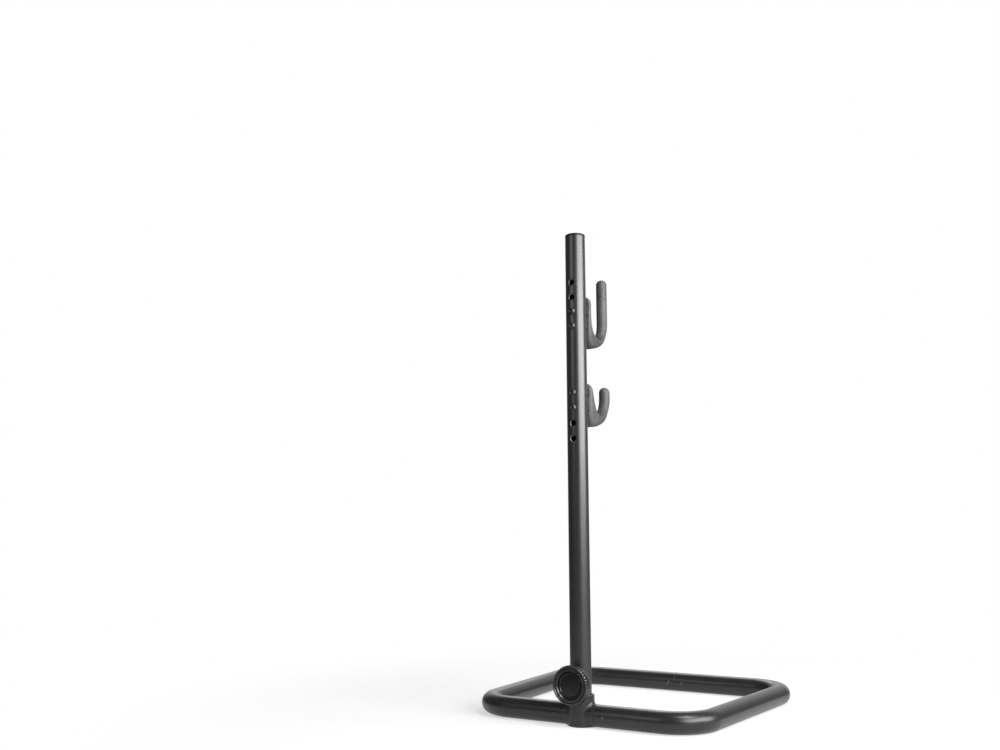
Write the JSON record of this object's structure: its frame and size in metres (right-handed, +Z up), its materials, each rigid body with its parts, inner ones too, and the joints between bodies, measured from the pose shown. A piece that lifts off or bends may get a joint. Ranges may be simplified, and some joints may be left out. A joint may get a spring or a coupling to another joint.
{
  "type": "bike repair stand",
  "caption": "Low floor stand that lifts a bicycle's rear end: a tube loop base, a clamped post that swivels and lifts out, and rubber-coated hooks for the seat stay and chain stay.",
  "frame": {"origin": "on the floor under the post's axis, in the middle of the casting's flat underside", "axes": "+Z up along the post, +Y from the post towards the back of the base loop, the way the hooks point, and +X along the front tube"},
  "size_m": [0.3818, 0.3906, 0.6615],
  "materials": {
    "powder_coat": "satin black powder coat on steel tube",
    "cast_paint": "satin black paint on a casting",
    "knob_plastic": "black moulded plastic",
    "cap_plastic": "glossy black moulded plastic",
    "hook_rubber": "fine-grained dark grey rubber",
    "zinc_steel": "zinc-plated steel",
    "black_steel": "blackened steel",
    "bush_nylon": "black nylon"
  },
  "bodies": {
    "base": {"base_tube_left": "powder_coat", "base_tube_right": "powder_coat", "rear_sleeve": "zinc_steel", "post_socket": "cast_paint", "rear_rivet_left": "black_steel", "rear_rivet_right": "black_steel", "base_screw_left": "black_steel", "base_screw_right": "black_steel"},
    "bush": {"socket_bush": "bush_nylon"},
    "post": {"post_tube": "powder_coat", "post_cap": "cap_plastic", "clamp_boss": "powder_coat", "upper_hook_coat": "hook_rubber", "upper_hook_core": "zinc_steel", "upper_hook_saddle_low": "cap_plastic", "upper_hook_saddle_top": "cap_plastic", "upper_hook_screw_low": "black_steel", "upper_hook_screw_top": "black_steel", "lower_hook_coat": "hook_rubber", "lower_hook_core": "zinc_steel", "lower_hook_saddle_low": "cap_plastic", "lower_hook_saddle_top": "cap_plastic", "lower_hook_screw_low": "black_steel", "lower_hook_screw_top": "black_steel"},
    "pad": {"clamp_pad": "black_steel"},
    "knob": {"clamp_stud": "zinc_steel", "knob_body": "knob_plastic", "knob_disc": "knob_plastic"}
  },
  "joints": [
    {"name": "post_swivel", "type": "hinge", "parent": "base", "child": "bush", "pos_m": [0, 0, 0.0063], "axis": [0, 0, 1], "continuous": true},
    {"name": "post_lift", "type": "slide", "parent": "bush", "child": "post", "axis": [0, 0, 1], "range_m": [0, 0.075]},
    {"name": "pad_travel", "type": "slide", "parent": "post", "child": "pad", "axis": [0, -1, 0], "range_m": [0, 0.0026]},
    {"name": "knob_turn", "type": "hinge", "parent": "pad", "child": "knob", "pos_m": [0, -0.0206, 0.0533], "axis": [0, -1, 0], "range_deg": [0, 720]}
  ],
  "couplings": [
    {"joint": "pad_travel", "follows": "knob_turn", "m_per_rad": 0.00019894}
  ]
}
